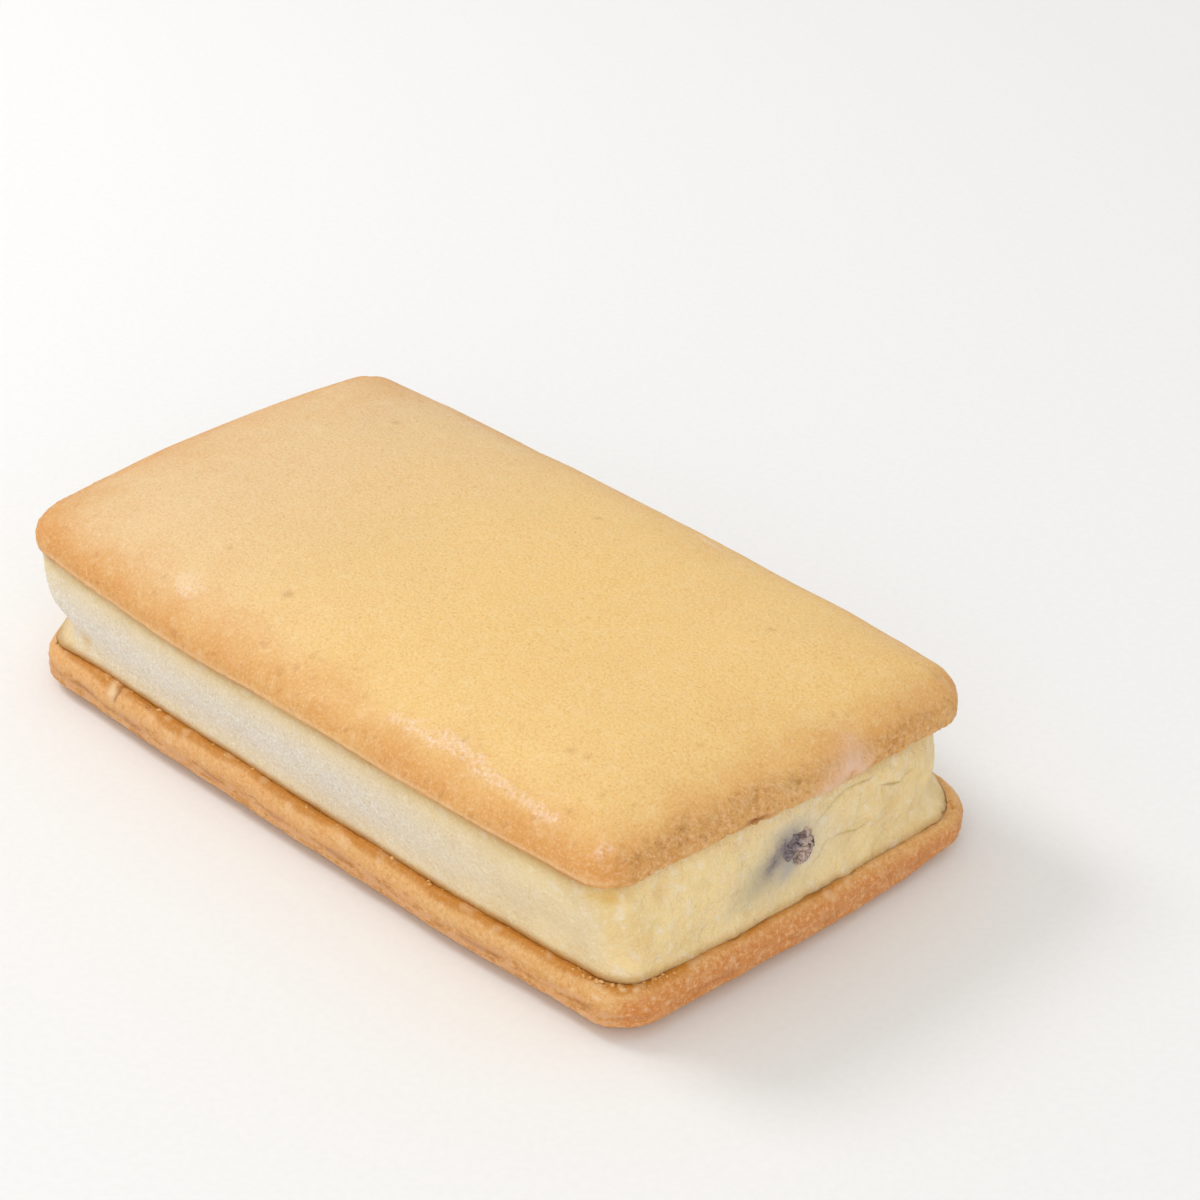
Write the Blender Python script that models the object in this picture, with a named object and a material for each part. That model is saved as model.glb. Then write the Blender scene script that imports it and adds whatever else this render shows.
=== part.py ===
"""Ice cream sandwich: a slab of raisin ice cream between two soft baked biscuits, lying flat.

Metres, +Z up. The origin is in the middle of the footprint, on the surface that the sandwich lies on.
The long sides run along X. Each biscuit has a flat face against the ice cream and a domed, baked face.
"""

import math
from typing import NamedTuple

import bmesh
import bpy
from mathutils import Vector, noise

# Thicknesses, from the bottom up
LOWER_THICKNESS = 0.0056
ICE_CREAM_THICKNESS = 0.0109
UPPER_THICKNESS = 0.0074
JOIN_GAP = 0.0003  # between pieces that touch

# Sides of the biscuits: how tall the upright edge is, and how far in the dome rounds off
UPPER_SIDE = 0.0010
UPPER_DOME_REACH = 0.0200
LOWER_SIDE = 0.0038
LOWER_DOME_REACH = 0.0100
FLAT_EDGE_ROUNDING = 0.0008  # the flat face stops this far short of the widest outline

# How far the ice cream stands back from each biscuit's outline, and how far its top has slid
INSET_UNDER_UPPER = 0.0012
INSET_ON_LOWER = 0.0010
TOP_SLIDE_X = -0.0006
TOP_SLIDE_Y = -0.0006
WAIST_DEPTH = 0.0004  # the ice cream's side is a little hollow all round
CORNER_WAIST_DEPTH = 0.0023  # and deeper at the corner where it was pressed thin
CORNER_WAIST_REACH = 0.0060
WAIST_LEVEL = -0.65  # from -1 at the foot of the ice cream to 1 at its top

WAVE_SIZE = 0.016  # length of the slow waves in the baked outlines and domes
OUTLINE_WAVE = 0.00025
DOME_WAVE = 0.00030


class Plan(NamedTuple):
    """An outline from above: a rectangle with rounded corners and sides that bow out."""

    centre_x: float
    centre_y: float
    turn: float
    half_length: float
    half_width: float
    corners: tuple
    end_bow: float
    side_bow: float


class Bump(NamedTuple):
    """A soft rise, or fall if negative, in a face that is flat elsewhere."""

    x: float
    y: float
    reach_x: float
    reach_y: float
    height: float


class RaisinSpot(NamedTuple):
    """Where a raisin lies in the side of the ice cream, and its half sizes before it is turned."""

    centre: Vector
    half_sizes: Vector
    turn_about_x: float
    turn_about_z: float
    seed: float


# Corner radii at -X-Y, +X-Y, -X+Y and +X+Y
UPPER_CORNERS = (0.0056, 0.0037, 0.0048, 0.0050)
LOWER_CORNERS = (0.0052, 0.0042, 0.0060, 0.0062)
UPPER_PLAN = Plan(-0.00034, -0.00040, 0.0, 0.04587, 0.02508, UPPER_CORNERS, 0.0017, 0.0010)
LOWER_PLAN = Plan(0.00034, 0.00041, 0.016, 0.04590, 0.02567, LOWER_CORNERS, 0.0014, 0.0010)

# The upper biscuit's flat face lifts along one end, and hangs lower at a corner and along a side
UNDERSIDE_BUMPS = (
    Bump(0.0465, -0.0122, 0.0110, 0.0136, 0.0014),
    Bump(0.0465, 0.0220, 0.0100, 0.0060, -0.0011),
    Bump(-0.0230, -0.0260, 0.0170, 0.0070, -0.0010),
)
# Its baked face droops at two corners and swells near one end
BAKED_BUMPS = (
    Bump(-0.0440, -0.0220, 0.0110, 0.0110, -0.0015),
    Bump(0.0440, 0.0230, 0.0100, 0.0100, -0.0008),
    Bump(-0.0380, 0.0060, 0.0180, 0.0160, 0.0006),
)
# The lower biscuit's ledge sinks at two corners
LEDGE_BUMPS = (
    Bump(0.0470, 0.0250, 0.0160, 0.0180, -0.0016),
    Bump(0.0480, 0.0265, 0.0050, 0.0050, -0.0007),
    Bump(-0.0450, -0.0250, 0.0080, 0.0080, -0.0006),
)
# Its underside curls up along one end
CURL_BUMPS = (
    Bump(0.0480, -0.0120, 0.0080, 0.0120, 0.0005),
    Bump(0.0470, 0.0250, 0.0090, 0.0070, 0.0010),
)

RAISINS = {
    "raisin_end": RaisinSpot(
        Vector((0.0444, -0.0008, 0.0112)), Vector((0.0026, 0.0037, 0.0024)), math.radians(-34), 0.0, 3.1
    ),
    "raisin_side": RaisinSpot(
        Vector((-0.0190, 0.0236, 0.0104)), Vector((0.0042, 0.0022, 0.0019)), 0.0, math.radians(12), 8.7
    ),
}

LOWER_TOP = LOWER_THICKNESS
UPPER_BOTTOM = LOWER_THICKNESS + ICE_CREAM_THICKNESS

BISCUIT_GRID = (36, 20, 5)  # faces along, across and up
ICE_CREAM_GRID = (28, 16, 6)
ON_BAKED_FACE = 1 - 1e-6  # a block's points above this level make the baked face


def crowd_to_ends(share, crowding):
    """Turns evenly spaced shares from -1 to 1 into ones that lie closer together near the ends."""
    return (1 - crowding) * share + crowding * math.sin(share * math.pi / 2)


def plan_point(plan, along, across, inset=0.0):
    """The point of the plan at shares -1 to 1 of its length and width, with the outline drawn in."""
    half_length = plan.half_length - inset
    half_width = plan.half_width - inset
    x = along * half_length
    y = across * half_width
    corner = plan.corners[(x > 0) + 2 * (y > 0)] - 0.6 * inset
    into_corner_x = abs(x) - (half_length - corner)
    into_corner_y = abs(y) - (half_width - corner)
    if into_corner_x > 0 and into_corner_y > 0:
        pull = max(into_corner_x, into_corner_y) / math.hypot(into_corner_x, into_corner_y)
        x = math.copysign(half_length - corner + into_corner_x * pull, x)
        y = math.copysign(half_width - corner + into_corner_y * pull, y)
    share_x = x / half_length
    share_y = y / half_width
    x += share_x * plan.end_bow * (1 - share_y**2)
    y += share_y * plan.side_bow * (1 - share_x**2)
    near_outline = max(abs(along), abs(across)) ** 4
    spot = Vector((x, y, plan.turn)) / WAVE_SIZE
    x += OUTLINE_WAVE * near_outline * noise.noise(spot)
    y += OUTLINE_WAVE * near_outline * noise.noise(spot + Vector((0, 0, 5)))
    cosine, sine = math.cos(plan.turn), math.sin(plan.turn)
    return plan.centre_x + x * cosine - y * sine, plan.centre_y + x * sine + y * cosine


def dome_share(plan, along, across, reach):
    """From 0 at the outline to 1 where the dome is full, with no crease along the corners' diagonals."""
    from_end = max((1 - abs(along)) * plan.half_length, 1e-7)
    from_side = max((1 - abs(across)) * plan.half_width, 1e-7)
    inward = (from_end**-4 + from_side**-4) ** -0.25
    return math.sqrt(1 - (1 - min(inward / reach, 1)) ** 2)


def rise(bumps, x, y):
    """How far a face with these bumps stands above its plane at a point."""
    total = 0.0
    for bump in bumps:
        away = ((x - bump.x) / bump.reach_x) ** 2 + ((y - bump.y) / bump.reach_y) ** 2
        total += bump.height * math.exp(-away)
    return total


def gridded_block(counts):
    """A block from -1 to 1 each way, its faces cut into a grid of counts along X, Y and Z."""
    mesh = bmesh.new()
    bmesh.ops.create_cube(mesh, size=2)
    for axis, count in enumerate(counts):
        edges = [e for e in mesh.edges if abs(e.verts[0].co[axis] - e.verts[1].co[axis]) > 1]
        bmesh.ops.subdivide_edges(mesh, edges=edges, cuts=count - 1, use_grid_fill=True)
    return mesh


def biscuit_point(plan, share, side, dome, reach):
    """The place of a block's point on a biscuit that lies with its flat face down at z = 0.

    The second value is the share of the dome there, which is 0 on the side and the flat face.
    """
    along = crowd_to_ends(share.x, 0.8)
    across = crowd_to_ends(share.y, 0.7)
    up_side = (share.z + 1) / 2
    inset = FLAT_EDGE_ROUNDING * (1 - math.sin(min(up_side * 2, 1) * math.pi / 2))
    x, y = plan_point(plan, along, across, inset)
    full = dome_share(plan, along, across, reach) if share.z > ON_BAKED_FACE else 0
    return Vector((x, y, side * up_side + dome * full)), full


def lower_biscuit_mesh():
    mesh = gridded_block(BISCUIT_GRID)
    dome = LOWER_THICKNESS - LOWER_SIDE
    for vertex in mesh.verts:
        place, _ = biscuit_point(LOWER_PLAN, vertex.co, LOWER_SIDE, dome, LOWER_DOME_REACH)
        nearness = 1 - place.z / LOWER_THICKNESS
        bend = nearness * rise(LEDGE_BUMPS, place.x, place.y) + (1 - nearness) * rise(CURL_BUMPS, place.x, place.y)
        place.z = LOWER_TOP - place.z + bend
        vertex.co = place
    return mesh


def upper_biscuit_mesh():
    mesh = gridded_block(BISCUIT_GRID)
    dome = UPPER_THICKNESS - UPPER_SIDE
    for vertex in mesh.verts:
        place, full = biscuit_point(UPPER_PLAN, vertex.co, UPPER_SIDE, dome, UPPER_DOME_REACH)
        swell = DOME_WAVE * noise.noise(Vector((place.x, place.y, 0)) / WAVE_SIZE)
        swell += rise(BAKED_BUMPS, place.x, place.y)
        nearness = (1 - place.z / UPPER_THICKNESS) ** 2
        place.z += UPPER_BOTTOM + full * swell + nearness * rise(UNDERSIDE_BUMPS, place.x, place.y)
        vertex.co = place
    return mesh


def ice_cream_point(share):
    """The place of a block's point on the slab, which leans from one biscuit's outline to the other's."""
    along = crowd_to_ends(share.x, 0.6)
    across = crowd_to_ends(share.y, 0.5)
    up = (share.z + 1) / 2
    hollow = math.exp(-(((share.z - WAIST_LEVEL) / 0.45) ** 2))
    lower_x, lower_y = plan_point(LOWER_PLAN, along, across, INSET_ON_LOWER)
    upper_x, upper_y = plan_point(UPPER_PLAN, along, across, INSET_UNDER_UPPER)
    x = lower_x + (upper_x + TOP_SLIDE_X - lower_x) * up
    y = lower_y + (upper_y + TOP_SLIDE_Y - lower_y) * up
    corner_distance = math.hypot(x + UPPER_PLAN.half_length, y + UPPER_PLAN.half_width)
    depth = WAIST_DEPTH + CORNER_WAIST_DEPTH * math.exp(-((corner_distance / CORNER_WAIST_REACH) ** 2))
    x -= hollow * depth * along
    y -= hollow * depth * across
    floor = LOWER_TOP + JOIN_GAP + rise(LEDGE_BUMPS, x, y)
    ceiling = UPPER_BOTTOM - JOIN_GAP + rise(UNDERSIDE_BUMPS, x, y)
    return Vector((x, y, floor + (ceiling - floor) * up))


def ice_cream_mesh():
    mesh = gridded_block(ICE_CREAM_GRID)
    for vertex in mesh.verts:
        vertex.co = ice_cream_point(vertex.co)
    return mesh


def raisin_mesh(spot, growth=0.0):
    """A dried, wrinkled fruit. growth swells it evenly, for the hollow that it lies in."""
    mesh = bmesh.new()
    bmesh.ops.create_icosphere(mesh, subdivisions=3, radius=1)
    for vertex in mesh.verts:
        outward = vertex.co.normalized()
        wrinkle = abs(noise.noise(outward * 2.4 + Vector((spot.seed, 0, 0))))
        point = outward * (1 - 0.22 * wrinkle)
        vertex.co = Vector(p * (half + growth) for p, half in zip(point, spot.half_sizes))
    return mesh


def make_object(name, mesh, colour=None, roughness=0.5):
    """Turns a mesh into an object of its own, with its own material."""
    mesh.normal_update()
    bmesh.ops.recalc_face_normals(mesh, faces=mesh.faces)
    data = bpy.data.meshes.new(name)
    mesh.to_mesh(data)
    mesh.free()
    data.shade_smooth()
    made = bpy.data.objects.new(name, data)
    bpy.context.scene.collection.objects.link(made)
    if colour:
        material = bpy.data.materials.new(name)
        material.use_nodes = True
        shader = material.node_tree.nodes["Principled BSDF"]
        shader.inputs["Base Color"].default_value = (*colour, 1)
        shader.inputs["Roughness"].default_value = roughness
        shader.inputs["Metallic"].default_value = 0
        data.materials.append(material)
    return made


def lay_raisin(made, spot):
    made.location = spot.centre
    made.rotation_euler = (spot.turn_about_x, 0, spot.turn_about_z)


def cut_hollow(ice_cream, name, spot):
    """Cuts the hollow that a raisin lies in out of the side of the ice cream."""
    cutter = make_object(f"hollow_for_{name}", raisin_mesh(spot, JOIN_GAP * 1.6))
    lay_raisin(cutter, spot)
    cutter.hide_render = True
    cutter.display_type = "WIRE"
    cut = ice_cream.modifiers.new(f"hollow_for_{name}", "BOOLEAN")
    cut.operation = "DIFFERENCE"
    cut.solver = "EXACT"
    cut.object = cutter


def stand_on_origin(objects):
    """Moves everything so that the footprint's middle is on the origin and the lowest point at z = 0."""
    bpy.context.view_layer.update()
    shown = [made for made in objects if not made.hide_render]
    corners = [made.matrix_world @ vertex.co for made in shown for vertex in made.data.vertices]
    middle_x = (min(c.x for c in corners) + max(c.x for c in corners)) / 2
    middle_y = (min(c.y for c in corners) + max(c.y for c in corners)) / 2
    lowest = min(c.z for c in corners)
    for made in objects:
        made.location -= Vector((middle_x, middle_y, lowest))


def main():
    for old in list(bpy.data.objects):
        bpy.data.objects.remove(old)
    make_object("lower_biscuit", lower_biscuit_mesh(), (0.66, 0.36, 0.15), 0.6)
    ice_cream = make_object("ice_cream", ice_cream_mesh(), (0.85, 0.76, 0.54), 0.45)
    make_object("upper_biscuit", upper_biscuit_mesh(), (0.84, 0.58, 0.29), 0.5)
    for name, spot in RAISINS.items():
        lay_raisin(make_object(name, raisin_mesh(spot), (0.09, 0.04, 0.035), 0.35), spot)
        cut_hollow(ice_cream, name, spot)
    stand_on_origin(list(bpy.data.objects))


main()
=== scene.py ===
import math
import random
from typing import NamedTuple

import bmesh
import bpy
from bpy.props import FloatProperty, FloatVectorProperty, IntProperty, PointerProperty
from mathutils import Matrix, Vector, noise


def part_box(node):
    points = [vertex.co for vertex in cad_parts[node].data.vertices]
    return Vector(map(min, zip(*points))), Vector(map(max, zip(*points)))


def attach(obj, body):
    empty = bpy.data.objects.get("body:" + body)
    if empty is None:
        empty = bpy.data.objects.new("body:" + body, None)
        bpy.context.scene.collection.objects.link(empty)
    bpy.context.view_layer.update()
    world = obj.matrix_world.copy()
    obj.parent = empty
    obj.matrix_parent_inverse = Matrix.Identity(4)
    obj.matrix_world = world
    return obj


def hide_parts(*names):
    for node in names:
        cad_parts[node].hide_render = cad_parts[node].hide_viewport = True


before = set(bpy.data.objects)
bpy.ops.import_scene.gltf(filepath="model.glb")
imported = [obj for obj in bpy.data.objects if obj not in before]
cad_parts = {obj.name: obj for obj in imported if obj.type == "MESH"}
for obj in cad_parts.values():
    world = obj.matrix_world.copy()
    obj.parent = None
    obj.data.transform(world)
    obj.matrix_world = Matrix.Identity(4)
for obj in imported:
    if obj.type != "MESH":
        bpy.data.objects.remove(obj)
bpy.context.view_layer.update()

bl_info = {
    "name": "Ice Cream Sandwich",
    "version": (1, 0, 0),
    "blender": (4, 5, 0),
    "location": "3D View > Sidebar > Dessert",
    "description": "Builds a biscuit ice cream sandwich with raisins around its packed frame",
    "category": "Add Mesh",
}

BODY = "root"
MM = 0.001

# The sandwich's own sizes, in metres, as its frame has them

LOWER_THICKNESS = 0.0056
ICE_CREAM_THICKNESS = 0.0109
UPPER_THICKNESS = 0.0074
SEEN_GAP = 0.00003  # between the ice cream's foot and the ledge

UPPER_SIDE = 0.0010
UPPER_DOME_REACH = 0.0200
LOWER_SIDE = 0.0038
LOWER_DOME_REACH = 0.0100
FLAT_EDGE_ROUNDING = 0.0008

INSET_UNDER_UPPER = 0.0012
INSET_ON_LOWER = 0.0010
TOP_SLIDE = Vector((-0.0006, -0.0006))

WAIST_DEPTH = 0.0004
CORNER_WAIST_DEPTH = 0.0023
CORNER_WAIST_REACH = 0.0060
WAIST_LEVEL = -0.65
WAIST_SPREAD = 0.45
FOOT_FLARE = 0.0015  # how far the foot spreads over the ledge at one corner
FOOT_FLARE_REACH = 0.0070
FAR_CORNER_PULL = 0.0006
FAR_CORNER_NOTCH = 0.0006

WAVE_SIZE = 0.016
OUTLINE_WAVE = 0.00025
DOME_WAVE = 0.00030


class Plan(NamedTuple):
    """A slab's outline seen from above."""

    centre_x: float
    centre_y: float
    turn: float
    half_length: float
    half_width: float
    corners: tuple
    end_bow: float
    side_bow: float


class Bump(NamedTuple):
    """A soft rise, or a hollow where the height is negative."""

    x: float
    y: float
    reach_x: float
    reach_y: float
    height: float


class Raisin(NamedTuple):
    """Where a raisin lies in the side of the ice cream, and its half sizes before it is turned."""

    centre: Vector
    half_sizes: Vector
    turn_about_x: float
    turn_about_z: float
    seed: float


class Patch(NamedTuple):
    """A soft-edged oval on a face, in the two directions of that face, turned by an angle."""

    across: float
    up: float
    reach_across: float
    reach_up: float
    turn: float
    strength: float


# Corner radii at -X-Y, +X-Y, -X+Y and +X+Y
UPPER_CORNERS = (0.0056, 0.0037, 0.0048, 0.0050)
LOWER_CORNERS = (0.0052, 0.0042, 0.0060, 0.0062)
UPPER_PLAN = Plan(-0.00034, -0.00040, 0.0, 0.04587, 0.02508, UPPER_CORNERS, 0.0017, 0.0010)
LOWER_PLAN = Plan(0.00034, 0.00041, 0.016, 0.04590, 0.02567, LOWER_CORNERS, 0.0014, 0.0010)

UNDERSIDE_BUMPS = (
    Bump(0.0465, -0.0122, 0.0110, 0.0136, 0.0014),
    Bump(0.0465, 0.0220, 0.0100, 0.0060, -0.0011),
    Bump(-0.0230, -0.0260, 0.0170, 0.0070, -0.0010),
)
BAKED_BUMPS = (
    Bump(-0.0440, -0.0220, 0.0110, 0.0110, -0.0015),
    Bump(0.0440, 0.0230, 0.0100, 0.0100, -0.0008),
    Bump(-0.0380, 0.0060, 0.0180, 0.0160, 0.0006),
)
LEDGE_BUMPS = (
    Bump(0.0470, 0.0250, 0.0160, 0.0180, -0.0016),
    Bump(0.0480, 0.0265, 0.0050, 0.0050, -0.0007),
    Bump(-0.0450, -0.0250, 0.0080, 0.0080, -0.0006),
)
CURL_BUMPS = (
    Bump(0.0480, -0.0120, 0.0080, 0.0120, 0.0005),
    Bump(0.0470, 0.0250, 0.0090, 0.0070, 0.0010),
)

RAISINS = {
    "raisin_end": Raisin(
        Vector((0.0444, -0.0006, 0.0112)), Vector((0.0025, 0.0029, 0.0024)), math.radians(-34), 0.0, 21.7
    ),
    "raisin_side": Raisin(
        Vector((-0.0190, 0.0236, 0.0104)), Vector((0.0042, 0.0022, 0.0019)), 0.0, math.radians(12), 8.7
    ),
}

LOWER_TOP = LOWER_THICKNESS
UPPER_BOTTOM = LOWER_THICKNESS + ICE_CREAM_THICKNESS

# Where the egg wash lies thick and shiny after drying on the upper biscuit, with a pale highlight painted over it: x,
# y
GLAZE_AND_HIGHLIGHT = (
    Patch(-0.0192, -0.0231, 0.0022, 0.0012, 0.0, 1.0),
    Patch(0.0145, -0.0237, 0.0022, 0.0008, 0.0, 0.7),
    Patch(0.0210, -0.0231, 0.0044, 0.0012, 0.1, 1.0),
    Patch(0.0278, -0.0235, 0.0042, 0.0008, -0.05, 1.0),
    Patch(0.0352, -0.0238, 0.0036, 0.0007, -0.05, 0.9),
    Patch(0.0432, -0.0238, 0.0009, 0.0009, 0.0, 1.0),
    Patch(-0.0250, 0.0205, 0.0050, 0.0010, 0.1, 0.55),
    Patch(0.0120, 0.0215, 0.0040, 0.0009, 0.0, 0.50),
)
# Small scorched spots on top: x, y
SPECKS = (
    Patch(-0.0085, -0.0185, 0.0006, 0.0005, 0.0, 0.8),
    Patch(-0.0196, -0.0172, 0.0004, 0.0003, 0.0, 0.5),
    Patch(-0.0368, -0.0025, 0.0003, 0.0003, 0.0, 0.4),
    Patch(0.0318, -0.0173, 0.0005, 0.0004, 0.6, 0.6),
    Patch(0.0337, -0.0169, 0.0004, 0.0004, 0.0, 0.5),
    Patch(0.0386, -0.0196, 0.0003, 0.0003, 0.0, 0.7),
    Patch(0.0393, -0.0078, 0.0003, 0.0003, 0.0, 0.6),
    Patch(0.0302, 0.0110, 0.0005, 0.0004, 0.0, 0.6),
    Patch(0.0021, 0.0142, 0.0004, 0.0004, 0.0, 0.7),
    Patch(-0.0280, 0.0121, 0.0006, 0.0004, 0.4, 0.6),
)
# Melted cream wiped over the upper biscuit's end: y, z
SMEARS = (
    Patch(0.0008, 0.0174, 0.0022, 0.0011, 0.35, 0.8),
    Patch(0.0036, 0.0180, 0.0022, 0.0014, 0.35, 0.9),
    Patch(0.0059, 0.0183, 0.0014, 0.0017, 0.0, 0.9),
)
# Purple juice round the end raisin, under a film of cream: y, z
JUICE = (
    Patch(-0.0029, 0.0120, 0.0013, 0.0012, 0.60, 0.90),
    Patch(-0.0037, 0.0118, 0.0017, 0.0008, 0.60, 0.95),
    Patch(-0.0047, 0.0112, 0.0020, 0.0010, 0.60, 0.50),
    Patch(-0.0044, 0.0112, 0.0028, 0.0017, 0.60, 0.35),
)
# Greyish cream over the raisin's lower end: y, z
FILM = (
    Patch(-0.0024, 0.0096, 0.0020, 0.0011, 0.45, 0.85),
    Patch(-0.0020, 0.0136, 0.0024, 0.0008, -0.20, 0.50),
)
# Its paler trail, down and away from the raisin: y, z
TRAIL = (
    Patch(-0.0066, 0.0102, 0.0028, 0.0018, 0.60, 0.45),
    Patch(-0.0082, 0.0094, 0.0026, 0.0014, 0.30, 0.20),
)
# Cream dulled by juice all round the raisin: y, z
HAZE = (
    Patch(-0.0010, 0.0114, 0.0050, 0.0036, -0.3, 0.75),
    Patch(-0.0080, 0.0095, 0.0040, 0.0026, 0.4, 0.28),
)
# Yolk-yellow stains in the ice cream: x, y, z, reach and strength
STAINS = (
    (0.0438, -0.0238, 0.0156, 0.0010, 0.80),
    (0.0425, -0.0245, 0.0158, 0.0009, 0.60),
    (0.0450, -0.0222, 0.0153, 0.0008, 0.50),
    (0.0458, -0.0188, 0.0144, 0.0009, 0.45),
    (0.0458, -0.0209, 0.0101, 0.0012, 0.35),
    (-0.0358, -0.0247, 0.0079, 0.0010, 0.60),
    (0.0460, -0.0084, 0.0073, 0.0004, 0.60),
    (0.0460, -0.0093, 0.0102, 0.0005, 0.50),
    (0.0455, 0.0120, 0.0098, 0.0012, 0.30),
)
# Folds that a knife left in the ice cream's end face: y, z of each point
CREASES = (
    ((0.0024, 0.0132), (0.0040, 0.0142), (0.0052, 0.0147), (0.0070, 0.0146), (0.0092, 0.0143)),
    ((0.0040, 0.0101), (0.0054, 0.0100), (0.0069, 0.0095), (0.0083, 0.0095)),
    ((0.0010, 0.0084), (0.0021, 0.0088), (0.0027, 0.0097)),
    ((0.0110, 0.0128), (0.0130, 0.0120), (0.0150, 0.0123)),
)
# Lumps and hollows of the same face: y, z, reach and height
LUMPS = (
    (0.0062, 0.0122, 0.0018, 0.00020),
    (0.0100, 0.0108, 0.0020, 0.00018),
    (0.0134, 0.0137, 0.0018, 0.00022),
    (0.0168, 0.0119, 0.0014, 0.00030),
    (0.0178, 0.0095, 0.0010, -0.00020),
    (-0.0118, 0.0128, 0.0030, 0.00016),
    (-0.0060, 0.0075, 0.0026, 0.00014),
    (0.0000, 0.0112, 0.0030, -0.00022),
)


# Sizes and colours that a user may change


def linear(code):
    """An sRGB hex colour as linear red, green and blue."""
    channels = [int(code[start : start + 2], 16) / 255 for start in (0, 2, 4)]
    return tuple(c / 12.92 if c <= 0.04045 else ((c + 0.055) / 1.055) ** 2.4 for c in channels)


def colour_property(name, description, code):
    return FloatVectorProperty(
        name=name, description=description, subtype="COLOR", size=3, min=0, max=1, default=linear(code)
    )


class BiscuitSettings(bpy.types.PropertyGroup):
    """Both biscuits."""

    faces_along: IntProperty(name="Faces along", description="Faces along the long side", default=340, min=40)
    faces_across: IntProperty(name="Faces across", description="Faces along the end", default=186, min=20)
    crumb_depth: FloatProperty(
        name="Crumb depth", description="How rough the broken sides are", default=0.00013, unit="LENGTH"
    )
    crumb_size: FloatProperty(
        name="Crumb size", description="Size of the grains on the sides", default=0.00062, unit="LENGTH"
    )
    straw: colour_property("Straw", "Where the face is palest", "e8c592")
    gold: colour_property("Gold", "Middle of the baked face", "f2c97f")
    amber: colour_property("Amber", "Edges of the baked face", "dc9c50")
    brown: colour_property("Brown", "The most baked rims", "d7863a")
    crumb: colour_property("Crumb", "Pale dough at a worn lip", "f1bd86")


class IceCreamSettings(bpy.types.PropertyGroup):
    """The ice cream."""

    faces_along: IntProperty(name="Faces along", description="Faces along the long side", default=400, min=40)
    faces_across: IntProperty(name="Faces across", description="Faces along the end", default=220, min=20)
    levels: IntProperty(name="Levels", description="Faces up the side", default=54, min=10)
    lump_depth: FloatProperty(
        name="Lump depth", description="Height of the slow lumps on the sides", default=0.00022, unit="LENGTH"
    )
    lump_size: FloatProperty(name="Lump size", description="Size of the lumps", default=0.0065, unit="LENGTH")
    cream: colour_property("Cream", "Smooth vanilla cream", "f5daa0")
    frost: colour_property("Frost", "Dry frosted cream", "e5dbcb")
    # Softened cream, and painted shade just under the upper biscuit and just above the lower one
    wet_and_contact_shade: colour_property("Wet", "Softened cream along the biscuits", "d9b878")
    juice: colour_property("Juice", "Raisin juice under the cream", "675f70")
    trail: colour_property("Trail", "Juice spread thin in the cream", "bcb28e")


class RaisinSettings(bpy.types.PropertyGroup):
    """The raisins."""

    wrinkle_depth: FloatProperty(
        name="Wrinkle depth", description="Depth of the skin's folds", default=0.00013, unit="LENGTH"
    )
    wrinkle_size: FloatProperty(
        name="Wrinkle size", description="Distance between the folds", default=0.0008, unit="LENGTH"
    )
    skin: colour_property("Skin", "Raised skin", "c9afa0")
    # Painted shade down in the wrinkles
    fold: colour_property("Fold", "Down in the folds", "3a2a2c")
    film: colour_property("Film", "Cream left on the skin", "b8aaa0")
    frozen: colour_property("Frozen", "The end under a thin layer of ice cream", "786e78")


class CrumbSettings(bpy.types.PropertyGroup):
    """Loose crumbs."""

    count: IntProperty(name="Count", description="Crumbs on the ledge and the rims", default=130, min=1)
    size: FloatProperty(name="Size", description="Usual size of a crumb", default=0.00019, unit="LENGTH")


class StageSettings(bpy.types.PropertyGroup):
    """Floor, lights and camera."""

    turn: FloatProperty(name="Turn", description="Camera's turn", default=math.radians(46.8), subtype="ANGLE")
    rise: FloatProperty(name="Rise", description="Camera's rise", default=math.radians(30.6), subtype="ANGLE")
    distance: FloatProperty(
        name="Distance", description="From the aim to the camera", default=0.3463, unit="LENGTH"
    )
    lens: FloatProperty(name="Lens", description="Focal length in millimetres", default=99.0)
    key_power: FloatProperty(name="Key", description="Soft light from the upper left", default=1.16, unit="POWER")
    fill_power: FloatProperty(name="Fill", description="Soft light beside the camera", default=1.38, unit="POWER")
    sky: FloatProperty(name="Sky", description="Strength of the white surroundings", default=0.72)
    floor: colour_property("Floor", "Pale table", "f5f4f2")


class SandwichSettings(bpy.types.PropertyGroup):
    """All of the sandwich's settings."""

    biscuits: PointerProperty(type=BiscuitSettings)
    ice_cream: PointerProperty(type=IceCreamSettings)
    raisins: PointerProperty(type=RaisinSettings)
    crumbs: PointerProperty(type=CrumbSettings)
    stage: PointerProperty(type=StageSettings)


# The slabs' shapes, which follow the frame


def soft_step(value, low, high):
    """0 below low, 1 above high, and smooth between them. Works downwards where high is below low."""
    share = min(max((value - low) / (high - low), 0), 1)
    return share * share * (3 - 2 * share)


def bell(value):
    return math.exp(-value * value)


def rise(bumps, x, y):
    """How far the bumps lift a face at this point."""
    return sum(
        bump.height * bell((x - bump.x) / bump.reach_x) * bell((y - bump.y) / bump.reach_y) for bump in bumps
    )


def cover(patches, across, up):
    """How strongly the patches cover this point, from 0 to 1."""
    clear = 1.0
    for patch in patches:
        cosine, sine = math.cos(patch.turn), math.sin(patch.turn)
        from_across, from_up = across - patch.across, up - patch.up
        along = (from_across * cosine + from_up * sine) / patch.reach_across
        aside = (from_up * cosine - from_across * sine) / patch.reach_up
        clear *= 1 - patch.strength * bell(math.hypot(along, aside))
    return 1 - clear


def waves(place, size, seed=0.0):
    """Smooth noise from -1 to 1 with lumps of this size."""
    return noise.noise(place / size + Vector((seed, 0, 0)))


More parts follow.
